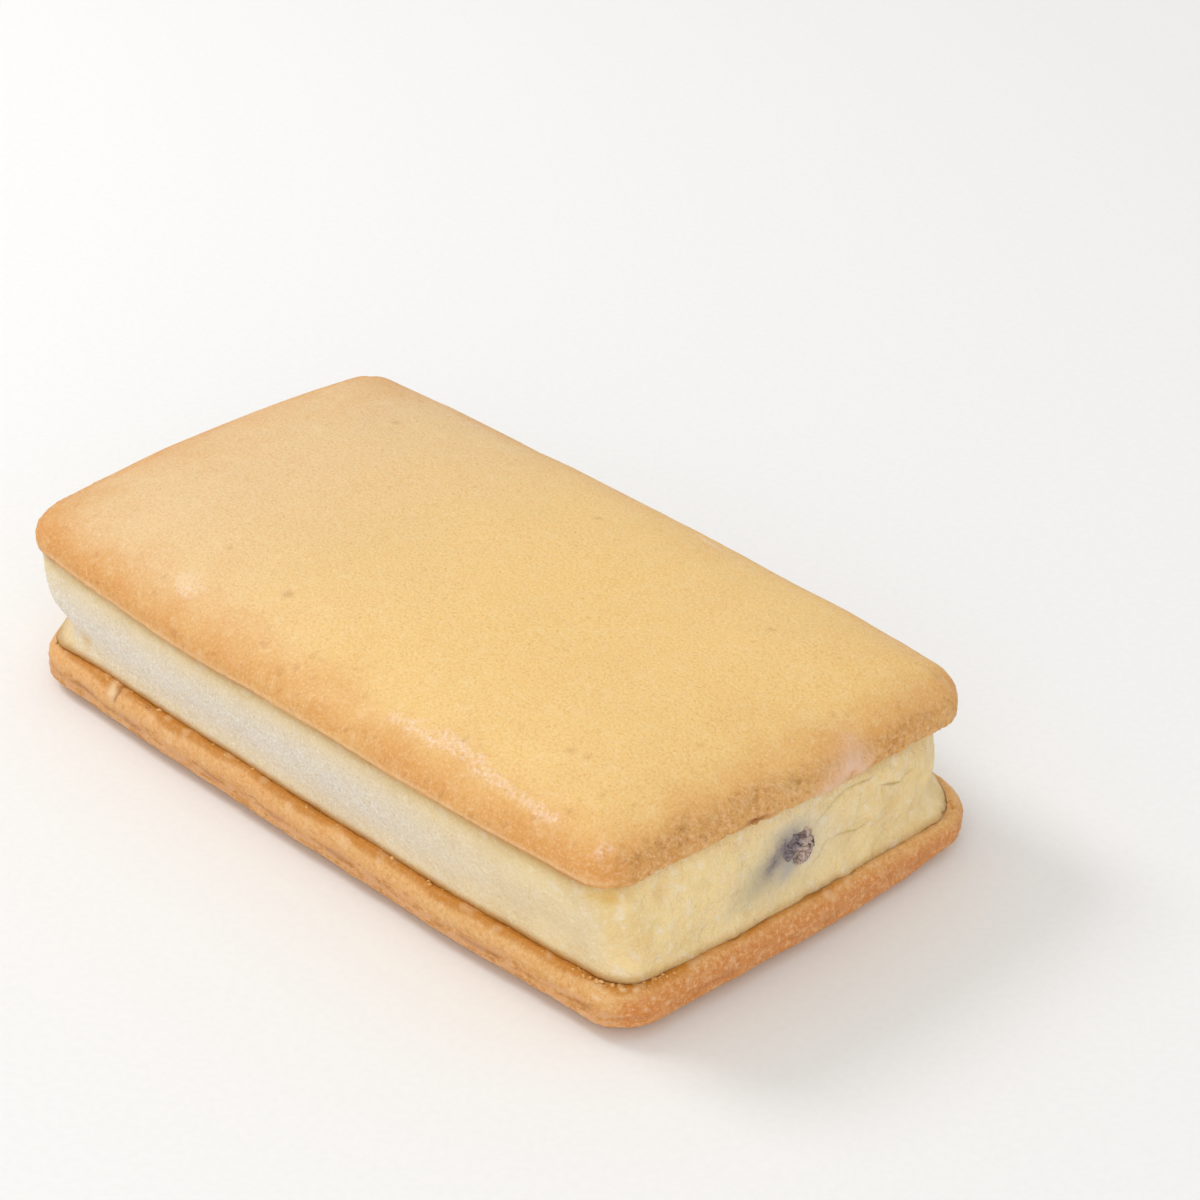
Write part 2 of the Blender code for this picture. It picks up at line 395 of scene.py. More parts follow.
def plan_point(plan, along, across, inset=0.0):
    """The place in a slab's outline that these shares of its half length and half width stand for."""
    half_length = plan.half_length - inset
    half_width = plan.half_width - inset
    x = along * half_length
    y = across * half_width
    corner = plan.corners[(x > 0) + 2 * (y > 0)] - 0.6 * inset
    into_corner_x = abs(x) - (half_length - corner)
    into_corner_y = abs(y) - (half_width - corner)
    if into_corner_x > 0 and into_corner_y > 0:
        pull = max(into_corner_x, into_corner_y) / math.hypot(into_corner_x, into_corner_y)
        x = math.copysign(half_length - corner + into_corner_x * pull, x)
        y = math.copysign(half_width - corner + into_corner_y * pull, y)
    share_x = x / half_length
    share_y = y / half_width
    x += share_x * plan.end_bow * (1 - share_y**2)
    y += share_y * plan.side_bow * (1 - share_x**2)
    near_outline = max(abs(along), abs(across)) ** 4
    spot = Vector((x, y, plan.turn)) / WAVE_SIZE
    x += OUTLINE_WAVE * near_outline * noise.noise(spot)
    y += OUTLINE_WAVE * near_outline * noise.noise(spot + Vector((0, 0, 5)))
    cosine, sine = math.cos(plan.turn), math.sin(plan.turn)
    return plan.centre_x + x * cosine - y * sine, plan.centre_y + x * sine + y * cosine


def plan_middle(plan):
    """The middle of an outline's own box."""
    steps = [step / 50 - 1 for step in range(101)]
    outline = [plan_point(plan, step, side) for step in steps for side in (-1, 1)]
    outline += [plan_point(plan, side, step) for step in steps for side in (-1, 1)]
    xs, ys = zip(*outline)
    return Vector(((min(xs) + max(xs)) / 2, (min(ys) + max(ys)) / 2, 0))


def frame_shift():
    """The move from the slabs' own origin to the frame's."""
    low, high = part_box("lower_biscuit")
    middle = (low + high) / 2
    return Vector((middle.x, middle.y, low.z)) - plan_middle(LOWER_PLAN)


SHIFT = frame_shift()


def inward(plan, along, across):
    """How far inside its outline a point on a slab's face lies, rounded off where two sides meet."""
    from_end = max((1 - abs(along)) * plan.half_length, 1e-7)
    from_side = max((1 - abs(across)) * plan.half_width, 1e-7)
    return (from_end**-4 + from_side**-4) ** -0.25


def quarter_circle(share):
    """0 at 0 and 1 from 1 on, rising as a quarter circle does."""
    return math.sqrt(1 - (1 - min(share, 1)) ** 2)


def biscuit_place(plan, spot, side, dome, reach):
    """A point of a biscuit that lies on its flat face, and how far up its dome it is."""
    up_side = 1 + min(spot.z, 0)
    inset = FLAT_EDGE_ROUNDING * (1 - math.sin(min(up_side * 2, 1) * math.pi / 2))
    x, y = plan_point(plan, spot.x, spot.y, inset)
    if up_side < 1:
        return Vector((x, y, side * up_side)), 0
    full = quarter_circle(inward(plan, spot.x, spot.y) / reach)
    return Vector((x, y, side + dome * full)), full


def upper_place(spot):
    dome = UPPER_THICKNESS - UPPER_SIDE
    place, full = biscuit_place(UPPER_PLAN, spot, UPPER_SIDE, dome, UPPER_DOME_REACH)
    swell = DOME_WAVE * noise.noise(Vector((place.x, place.y, 0)) / WAVE_SIZE) + rise(
        BAKED_BUMPS, place.x, place.y
    )
    nearness = (1 - place.z / UPPER_THICKNESS) ** 2
    place.z += UPPER_BOTTOM + full * swell + nearness * rise(UNDERSIDE_BUMPS, place.x, place.y)
    return place + SHIFT


def lower_place(spot):
    dome = LOWER_THICKNESS - LOWER_SIDE
    place, _ = biscuit_place(LOWER_PLAN, spot, LOWER_SIDE, dome, LOWER_DOME_REACH)
    nearness = 1 - place.z / LOWER_THICKNESS
    bend = nearness * rise(LEDGE_BUMPS, place.x, place.y) + (1 - nearness) * rise(CURL_BUMPS, place.x, place.y)
    place.z = LOWER_TOP - place.z + bend
    return place + SHIFT


def ice_cream_place(spot):
    """A point of the ice cream: spot.z runs from -1 at its foot to 1 at its top."""
    up = (spot.z + 1) / 2
    hollow = bell((spot.z - WAIST_LEVEL) / WAIST_SPREAD)
    lower_x, lower_y = plan_point(LOWER_PLAN, spot.x, spot.y, INSET_ON_LOWER)
    upper_x, upper_y = plan_point(UPPER_PLAN, spot.x, spot.y, INSET_UNDER_UPPER)
    x = lower_x + (upper_x + TOP_SLIDE.x - lower_x) * up
    y = lower_y + (upper_y + TOP_SLIDE.y - lower_y) * up
    corner_distance = math.hypot(x + UPPER_PLAN.half_length, y + UPPER_PLAN.half_width)
    depth = hollow * (WAIST_DEPTH + CORNER_WAIST_DEPTH * bell(corner_distance / CORNER_WAIST_REACH))
    depth -= FOOT_FLARE * bell(corner_distance / FOOT_FLARE_REACH) * bell((spot.z + 1) / 0.33)
    far_distance = math.hypot(x - UPPER_PLAN.half_length, y - UPPER_PLAN.half_width)
    notch = FAR_CORNER_PULL * soft_step(spot.z, -1.0, -0.5)
    notch += FAR_CORNER_NOTCH * bell((spot.z + 0.55) / 0.25)
    depth += notch * bell(far_distance / 0.0080)
    x -= depth * spot.x
    y -= depth * spot.y
    floor = LOWER_TOP + SEEN_GAP + rise(LEDGE_BUMPS, x, y)
    ceiling = UPPER_BOTTOM + rise(UNDERSIDE_BUMPS, x, y)
    return Vector((x, y, floor + (ceiling - floor) * up)) + SHIFT


# Mesh helpers


def extrude_ring(mesh, ring, spread=1.0, lift=0.0):
    """Extrudes a ring of edges, then scales the new ring about the middle and lifts it."""
    made = bmesh.ops.extrude_edge_only(mesh, edges=ring)["geom"]
    points = [part for part in made if isinstance(part, bmesh.types.BMVert)]
    bmesh.ops.scale(mesh, vec=(spread, spread, 1), verts=points)
    bmesh.ops.translate(mesh, vec=(0, 0, lift), verts=points)
    return [part for part in made if isinstance(part, bmesh.types.BMEdge) and part.is_boundary]


def slab_mesh(counts, shoulder, side_rings, flat_shares):
    """A slab two units wide. A fine grid covers its baked face, rings crowd towards the edge over the shoulder,
    run down the side from 0 to -1, and close in over the flat face."""
    mesh = bmesh.new()
    bmesh.ops.create_grid(mesh, x_segments=counts[0], y_segments=counts[1], size=1)
    reach, rings = shoulder
    bmesh.ops.scale(mesh, vec=(1 - reach, 1 - reach, 1), verts=mesh.verts)
    edge = [part for part in mesh.edges if part.is_boundary]
    share = 1 - reach
    for ring in range(rings - 1, -1, -1):
        wanted = 1 - reach * (ring / rings) ** 2
        edge = extrude_ring(mesh, edge, wanted / share)
        share = wanted
    for _ in range(side_rings):
        edge = extrude_ring(mesh, edge, lift=-1 / side_rings)
    share = 1
    for wanted in flat_shares:
        edge = extrude_ring(mesh, edge, wanted / share)
        share = wanted
    bmesh.ops.holes_fill(mesh, edges=edge, sides=0)
    return mesh


def band_mesh(counts, levels, cap_shares):
    """A slab two units wide and high whose sides are fine and whose two faces are coarse rings."""
    mesh = bmesh.new()
    bmesh.ops.create_grid(mesh, x_segments=1, y_segments=1, size=1)
    bmesh.ops.delete(mesh, geom=mesh.faces[:], context="FACES_ONLY")
    for axis in range(2):
        sides = [edge for edge in mesh.edges if abs(edge.verts[0].co[axis] - edge.verts[1].co[axis]) > 1]
        bmesh.ops.subdivide_edges(mesh, edges=sides, cuts=counts[axis] - 1)
    bmesh.ops.translate(mesh, vec=(0, 0, -1), verts=mesh.verts)
    first = mesh.edges[:]
    last = first
    for _ in range(levels):
        last = extrude_ring(mesh, last, lift=2 / levels)
    for edge in (last, first):
        share = 1
        for wanted in cap_shares:
            edge = extrude_ring(mesh, edge, wanted / share)
            share = wanted
        bmesh.ops.holes_fill(mesh, edges=edge, sides=0)
    return mesh


def settle(mesh):
    """Turns every face outwards."""
    mesh.normal_update()
    bmesh.ops.recalc_face_normals(mesh, faces=mesh.faces)
    mesh.normal_update()


def shape(mesh, place_of, marks_of, relief_of):
    """Puts each point in its place, marks it for the material, and raises it along its normal."""
    spots = [vertex.co.copy() for vertex in mesh.verts]
    for vertex, spot in zip(mesh.verts, spots):
        vertex.co = place_of(spot)
    settle(mesh)
    marks = [marks_of(spot, vertex.co, vertex.normal) for vertex, spot in zip(mesh.verts, spots)]
    for name in marks[0]:
        layer = mesh.verts.layers.float.new(name)
        for vertex, mark_here in zip(mesh.verts, marks):
            vertex[layer] = mark_here[name]
    lifts = [v.normal * relief_of(v.co, v.normal, mark_here) for v, mark_here in zip(mesh.verts, marks)]
    for vertex, lift in zip(mesh.verts, lifts):
        vertex.co += lift
    settle(mesh)


def make_piece(name, mesh, material, node=None):
    """Makes the finished object, which rides on the sandwich and stands for its node of the frame."""
    data = bpy.data.meshes.new(name)
    mesh.to_mesh(data)
    mesh.free()
    data.polygons.foreach_set("use_smooth", [True] * len(data.polygons))
    data.materials.append(material)
    piece = bpy.data.objects.new(name, data)
    bpy.context.scene.collection.objects.link(piece)
    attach(piece, BODY)
    if node:
        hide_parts(node)
    return piece


# Material helpers

MIX_SHARE, MIX_FIRST, MIX_SECOND, MIX_RESULT = 0, 6, 7, 2  # the colour sockets of a Mix node


def add_node(tree, kind, inputs=None, output=0, **settings):
    """Adds a node and gives one of its outputs. Settings are its own choices, and each input is a value or a
    socket to link."""
    node = tree.nodes.new(kind)
    for name, value in settings.items():
        setattr(node, name, value)
    for key, value in (inputs or {}).items():
        socket = node.inputs[key]
        if isinstance(value, bpy.types.NodeSocket):
            tree.links.new(value, socket)
        elif socket.type == "RGBA":
            socket.default_value = (*value, 1)
        else:
            socket.default_value = value
    return node.outputs[output] if node.outputs else None


def new_material(name):
    """An empty node material, its tree and its place coordinates."""
    material = bpy.data.materials.new(name)
    material.use_nodes = True
    tree = material.node_tree
    tree.nodes.clear()
    return material, tree, add_node(tree, "ShaderNodeTexCoord", output="Object")


def finish_material(tree, inputs):
    """Adds the shader with its inputs."""
    surface = add_node(tree, "ShaderNodeBsdfPrincipled", inputs)
    add_node(tree, "ShaderNodeOutputMaterial", {"Surface": surface})


def spots(tree, place, size, low, high, strength=1.0, detail=3.0, roughness=0.55, mask=None, base=0.0):
    """Patches of this size in metres, from the base to the strength as noise goes from low to high. The mask is
    an attribute that the mesh carries, and weakens them where it is weak."""
    texture = {"Vector": place, "Scale": 1 / size, "Detail": detail, "Roughness": roughness}
    lumps = add_node(tree, "ShaderNodeTexNoise", texture)
    limits = {"Value": lumps, "From Min": low, "From Max": high, "To Min": base, "To Max": strength}
    share = add_node(tree, "ShaderNodeMapRange", limits, interpolation_type="SMOOTHSTEP")
    if not mask:
        return share
    carried = add_node(tree, "ShaderNodeAttribute", output="Fac", attribute_name=mask)
    return add_node(tree, "ShaderNodeMath", {0: share, 1: carried}, operation="MULTIPLY")


def paint(tree, under, colour, share):
    """Covers a colour by another. The share is a socket, or a mask's name and its strength."""
    if isinstance(share, tuple):
        carried = add_node(tree, "ShaderNodeAttribute", output="Fac", attribute_name=share[0])
        share = add_node(tree, "ShaderNodeMath", {0: carried, 1: share[1]}, operation="MULTIPLY")
    layers = {MIX_SHARE: share, MIX_FIRST: under, MIX_SECOND: colour}
    return add_node(tree, "ShaderNodeMix", layers, output=MIX_RESULT, data_type="RGBA")


def raised(tree, layers):
    """The normal of a surface with each height raised by its own depth in metres."""
    normal = None
    for height, depth in layers:
        inputs = {"Height": height, "Distance": depth, "Strength": 1.0}
        if normal:
            inputs["Normal"] = normal
        normal = add_node(tree, "ShaderNodeBump", inputs)
    return normal


def crust_material(name, settings, streaks):
    """Baked short biscuit dough. Egg wash leaves the face smooth and golden with shiny patches, over which a pale
    highlight is painted, and the sides are dry, browner crumb. Streaks are the layers that show along the side of the
    lower one."""
    material, tree, place = new_material(name)
    patchy = spots(tree, place, 6.5 * MM, 0.25, 0.75, 0.07, base=-0.07)
    baked = add_node(tree, "ShaderNodeAttribute", output="Fac", attribute_name="baked")
    patchy = add_node(tree, "ShaderNodeMath", {0: patchy, 1: baked}, operation="ADD")
    face = paint(tree, tuple(settings.gold), tuple(settings.straw), ("straw", 1.0))
    for colour, low, high in ((settings.amber, 0.0, 0.60), (settings.brown, 0.50, 1.15)):
        limits = {"Value": patchy, "From Min": low, "From Max": high}
        share = add_node(tree, "ShaderNodeMapRange", limits, interpolation_type="SMOOTHSTEP")
        face = paint(tree, face, tuple(colour), share)

    # The lower biscuit's lip: its paler crust, and painted light where its rounding faces up
    face = paint(tree, face, linear("eaad66"), ("lip", 1.0))
    # Painted shade: darker orange in the groove where the ice cream stands on the ledge, over cream that soaked into
    # the biscuit there
    face = paint(tree, face, linear("c27a16"), ("soaked_and_groove_shade", 1.0))

    # Flour and sugar grains, drawn 0.3 to 0.4 mm wide so that they show, and freckles a little larger
    flour = 0.30 * MM
    face = paint(tree, face, linear("c98a45"), spots(tree, place, flour, 0.48, 0.34, 0.34, 3, 0.75))
    face = paint(tree, face, linear("fde8c8"), spots(tree, place, flour, 0.52, 0.68, 0.28, 3, 0.75))
    face = paint(tree, face, linear("f6d7a2"), spots(tree, place, 1.7 * MM, 0.50, 0.74, 0.22, 3))
    face = paint(tree, face, linear("c78a4a"), spots(tree, place, 0.8 * MM, 0.70, 0.78, 0.25, 2))

    # Pores and light grains in the crumb of the sides
    pore = 0.55 * MM
    face = paint(tree, face, linear("bf692e"), spots(tree, place, pore, 0.43, 0.37, 0.55, 4, 0.75, "rough"))
    face = paint(tree, face, tuple(settings.crumb), spots(tree, place, pore, 0.53, 0.60, 0.85, 4, 0.75, "rough"))
    if streaks:
        flat = add_node(tree, "ShaderNodeMapping", {"Vector": place, "Scale": (0.24, 0.24, 1.0)})
        tan = spots(tree, flat, 0.70 * MM, 0.48, 0.55, 0.85, 5, 0.8, "side")
        face = paint(tree, face, linear("dfaa7c"), tan)
        burnt = spots(tree, flat, 0.70 * MM, 0.47, 0.40, 0.85, 5, 0.8, "side")
        face = paint(tree, face, linear("c0854a"), burnt)
        # A second coat of the painted groove shade and soak, over the streaks
        face = paint(tree, face, linear("cc8424"), ("soaked_and_groove_shade", 0.75))
    # Pale flakes and crumbs, and on the upper biscuit a painted highlight along the rim's lower edge
    face = paint(tree, face, linear("f7d9ac"), ("pale", 1.0))
    # Scorched specks and lines, and painted shade inside the cracks
    face = paint(tree, face, linear("9c5a22"), ("scorch_and_crack_shade", 1.0))
    face = paint(tree, face, linear("e4bda2"), ("smear", 1.0))
    # Painted highlight: pale pinkish streaks over the shiny patches of egg wash
    painted_highlight = spots(tree, place, 0.42 * MM, 0.40, 0.64, 0.42, 4, 0.6, "glaze_and_highlight")
    face = paint(tree, face, linear("ffe0ce"), painted_highlight)

    # The wash dries to a thin skin, wrinkled where it is thick
    shine = spots(tree, place, 5.5 * MM, 0.40, 0.62, 0.52, base=0.62)
    wash = add_node(tree, "ShaderNodeAttribute", output="Fac", attribute_name="glaze_and_highlight")
    roughness = add_node(tree, "ShaderNodeMath", {0: wash, 1: -0.34, 2: shine}, operation="MULTIPLY_ADD")
    relief = (
        (spots(tree, place, 0.36 * MM, 0.20, 0.80, 1.0, 3, 0.6), 0.060 * MM),
        (spots(tree, place, pore, 0.20, 0.80, 1.0, 5, 0.72, "rough"), 0.12 * MM),
        (spots(tree, place, 0.60 * MM, 0.25, 0.75, 1.0, 3, 0.6, "glaze_and_highlight"), 0.06 * MM),
    )
    inputs = {
        "Base Color": face,
        "Roughness": roughness,
        "Normal": raised(tree, relief),
        "IOR": 1.45,
        "Subsurface Weight": 0.10,
        "Subsurface Radius": (1.0, 0.55, 0.25),
        "Subsurface Scale": 0.6 * MM,
    }
    finish_material(tree, inputs)
    return material


def ice_cream_material(settings):
    """Hard-frozen vanilla ice cream. The cut long sides are dry and frosted, whitish with a fine sparkle of crystals,
    and the ends are smoother, yellower and a little moist. Softened cream and painted shade darken it where it meets
    both biscuits."""
    material, tree, place = new_material("vanilla ice cream, frozen")
    face = paint(tree, tuple(settings.cream), linear("ecd096"), spots(tree, place, 4.5 * MM, 0.38, 0.66))
    frosted = spots(tree, place, 0.5 * MM, 0.30, 0.55, 1.0, 4, 0.7, "frost", base=0.72)
    face = paint(tree, face, tuple(settings.frost), frosted)
    # Softened cream with painted shade along both biscuits
    face = paint(tree, face, tuple(settings.wet_and_contact_shade), ("wet_and_contact_shade", 0.75))

    # Yolk-yellow and whiter smears, a few millimetres long, and ice crystals drawn 0.3 mm wide so that they show
    face = paint(tree, face, linear("e6c67e"), spots(tree, place, 2.2 * MM, 0.54, 0.74, 0.28, 3, 0.5, "melted"))
    face = paint(tree, face, linear("f4e6cf"), spots(tree, place, 1.5 * MM, 0.50, 0.72, 0.60, 4, 0.6, "melted"))
    crystal = 0.30 * MM
    face = paint(tree, face, linear("c9ae84"), spots(tree, place, crystal, 0.44, 0.30, 0.22, 3, 0.8))
    face = paint(tree, face, linear("fffaf0"), spots(tree, place, crystal, 0.53, 0.68, 0.26, 3, 0.8))
    face = paint(tree, face, linear("c3b09a"), spots(tree, place, crystal, 0.46, 0.36, 0.40, 3, 0.8, "frost"))
    face = paint(tree, face, linear("fffdf8"), spots(tree, place, crystal, 0.53, 0.62, 0.50, 3, 0.8, "frost"))
    # Painted shade: brown-grey along the knife folds of the end face
    face = paint(tree, face, linear("bd9a58"), ("fold", 1.0))
    face = paint(tree, face, linear("dfb35c"), ("yolk", 1.0))
    # Painted shade: darker orange at the ice cream's foot and just under the upper biscuit
    face = paint(tree, face, linear("b87a2c"), ("contact_shade", 1.0))
    face = paint(tree, face, linear("ddd4bc"), ("haze", 1.0))
    face = paint(tree, face, tuple(settings.trail), ("trail", 1.0))
    face = paint(tree, face, linear("b4aea6"), ("film", 1.0))
    juice = spots(tree, place, 0.8 * MM, 0.30, 0.62, 0.70, 3, 0.6, "juice", base=1.0)
    face = paint(tree, face, tuple(settings.juice), juice)
    inputs = {
        "Base Color": face,
        "Roughness": spots(tree, place, 2.5 * MM, 0.30, 0.70, 0.66, base=0.46),
        "Normal": raised(
            tree,
            (
                (spots(tree, place, 1.2 * MM, 0.20, 0.80), 0.16 * MM),
                (spots(tree, place, crystal, 0.20, 0.80, 1.0, 4, 0.8), 0.05 * MM),
            ),
        ),
        "IOR": 1.35,
        "Subsurface Weight": 0.35,
        "Subsurface Radius": (1.0, 0.8, 0.5),
        "Subsurface Scale": 0.9 * MM,
    }
    finish_material(tree, inputs)
    return material


def raisin_material(settings):
    """Dried grape skin, wrinkled and sticky: painted dark with shade in the folds, brown on the ridges and dulled by
    frozen cream.
    """
    material, tree, place = new_material("raisin, dried grape skin")
    face = paint(tree, tuple(settings.skin), linear("8a6660"), spots(tree, place, 0.9 * MM, 0.46, 0.66, 0.7))
    face = paint(tree, face, tuple(settings.film), spots(tree, place, 0.4 * MM, 0.46, 0.60, 0.75, 4, 0.65))
    face = paint(tree, face, tuple(settings.frozen), ("frozen", 0.85))
    # Painted shade in the folds, and dark specks painted as shade in small pits
    face = paint(tree, face, tuple(settings.fold), ("fold", 0.70))
    face = paint(tree, face, linear("33231f"), spots(tree, place, 0.5 * MM, 0.61, 0.67, 0.85, 2))
    inputs = {
        "Base Color": face,
        "Roughness": spots(tree, place, 0.5 * MM, 0.42, 0.60, 0.55, 4, 0.65, base=0.25),
        "Normal": raised(tree, ((spots(tree, place, 0.3 * MM, 0.2, 0.8, 1.0, 3), 0.08 * MM),)),
        "IOR": 1.45,
    }
    finish_material(tree, inputs)
    return material


def crumb_material(settings):
    """Broken biscuit crumb: dry and matt, from pale dough to toasted."""
    material, tree, place = new_material("biscuit crumbs, dry")
    face = paint(tree, linear("e9b878"), tuple(settings.amber), spots(tree, place, 2.0 * MM, 0.40, 0.60))
    face = paint(tree, face, linear("b06c32"), spots(tree, place, 1.6 * MM, 0.62, 0.70, 0.9))
    inputs = {
        "Base Color": face,
        "Roughness": 0.8,
        "Normal": raised(tree, ((spots(tree, place, 0.2 * MM, 0.2, 0.8, 1.0, 2), 0.03 * MM),)),
        "Subsurface Weight": 0.1,
        "Subsurface Scale": 0.5 * MM,
    }
    finish_material(tree, inputs)
    return material


# The pieces


class Builder:
    """What every operator here shares."""

    bl_options = {"REGISTER", "UNDO"}

    @staticmethod
    def settings():
        return bpy.context.scene.ice_cream_sandwich


class SANDWICH_OT_upper_biscuit(Builder, bpy.types.Operator):
    """Builds the upper biscuit: a low dome with a glazed face and a crumbly rim"""

    bl_idname = "sandwich.upper_biscuit"
    bl_label = "Upper biscuit"

    SHOULDER = (0.045, 16)
    SIDE_RINGS = 7
    FLAT_SHARES = (0.997, 0.992, 0.984, 0.96)

    def marks(self, spot, place, normal):
        inside = inward(UPPER_PLAN, spot.x, spot.y) if spot.z == 0 else 0
        from_end = (1 - abs(spot.x)) * UPPER_PLAN.half_length
        from_side = (1 - abs(spot.y)) * UPPER_PLAN.half_width
        end = soft_step(from_side - from_end, -0.0010, 0.0040) * (1.0 if spot.x > 0 else 0.5)
        under = soft_step(normal.z, -0.5, -0.9)
        true_height = place.z - UPPER_BOTTOM - SHIFT.z - rise(UNDERSIDE_BUMPS, *(place - SHIFT).xy)
        height = true_height + 0.0006 * waves(place, 0.0030, 21)
        rim = soft_step(height, 0.0036, 0.0023)
        front = bell(math.hypot((place.x - 0.046) / 0.020, (place.y + 0.026) / 0.011))
        baked = 0.29 * bell(inside / 0.0035) + 0.10 * bell(inside / 0.0095) + 0.06 * front
        baked += (0.07 - 0.10 * end) * rim + 0.05 * soft_step(place.x, 0.034, 0.047)
        baked += 0.20 * soft_step(place.x, -0.026, -0.046)
        baked += 0.03 * waves(place, 0.0042, 11) * soft_step(inside, 0.010, 0.003)
        smear = cover(SMEARS, place.y, place.z) * soft_step(place.x, 0.040, 0.044)
        smear = min(smear * (0.9 + 0.6 * waves(place, 0.0010, 3)), 1)
        line = bell((true_height - 0.00045) / 0.00014)
        streak = waves(Vector((place.x * 0.4, place.y, 0)), 0.0009, 5)
        # A crack under the rim, painted dark as the shade inside it
        split = math.hypot((place.y + 0.0082) / 0.0015, (true_height - 0.0006) / 0.00028)
        crack = bell(split) * (place.x > 0)
        return {
            "baked": baked + 0.15 * under,
            "straw": 0.85 * soft_step(place.x, 0.012, -0.036) * (1 - 0.5 * rim),
            "rough": min((0.34 + 0.66 * end) * rim * (1 - 0.85 * smear) + 0.4 * under, 1),
            "lip": 0.0,
            # Painted highlight: a thin pale line along the rim's lower edge
            "pale": 0.30 * bell((true_height - 0.00085) / 0.00022) * (1 - end),
            "scorch_and_crack_shade": max(
                0.45 * cover(SPECKS, place.x, place.y),
                0.45 * line * (1 - end) * soft_step(waves(place, 0.0060, 17), -0.4, 0.1),
                0.22 * bell(inside / 0.0060) * soft_step(waves(place, 0.0010, 31), 0.42, 0.60),
                0.90 * crack,
            ),
            "soaked_and_groove_shade": 0.0,
            "smear": 0.90 * smear,
            # Shiny patches of egg wash, which also carry the painted highlight
            "glaze_and_highlight": soft_step(cover(GLAZE_AND_HIGHLIGHT, place.x, place.y) + 0.5 * streak, 0.25, 0.75),
            "side": 0.0,
        }

    def relief(self, place, normal, marks):
        biscuits = self.settings().biscuits
        size = biscuits.crumb_size
        face = 0.00009 * waves(place, 0.0060, 1) + 0.00002 * waves(place, 0.0016, 2)
        crumb = waves(place, size, 4) + 0.6 * waves(place, size * 0.5, 6) + 0.8 * waves(place, size * 2.6, 8)
        crumb -= 1.6 * soft_step(waves(place, size * 1.3, 12), 0.24, 0.50) * soft_step(marks["rough"], 0.4, 0.8)
        wrinkle = 0.00007 * marks["pale"] - 0.00010 * marks["scorch_and_crack_shade"]
        return face + 1.2 * biscuits.crumb_depth * marks["rough"] * crumb + wrinkle + 0.00015 * marks["smear"]

    def execute(self, context):
        biscuits = self.settings().biscuits
        counts = (biscuits.faces_along, biscuits.faces_across)
        mesh = slab_mesh(counts, self.SHOULDER, self.SIDE_RINGS, self.FLAT_SHARES)
        shape(mesh, upper_place, self.marks, self.relief)
        material = crust_material("biscuit crust, egg washed and baked", biscuits, streaks=False)
        make_piece("upper_biscuit_crust", mesh, material, "upper_biscuit")
        return {"FINISHED"}


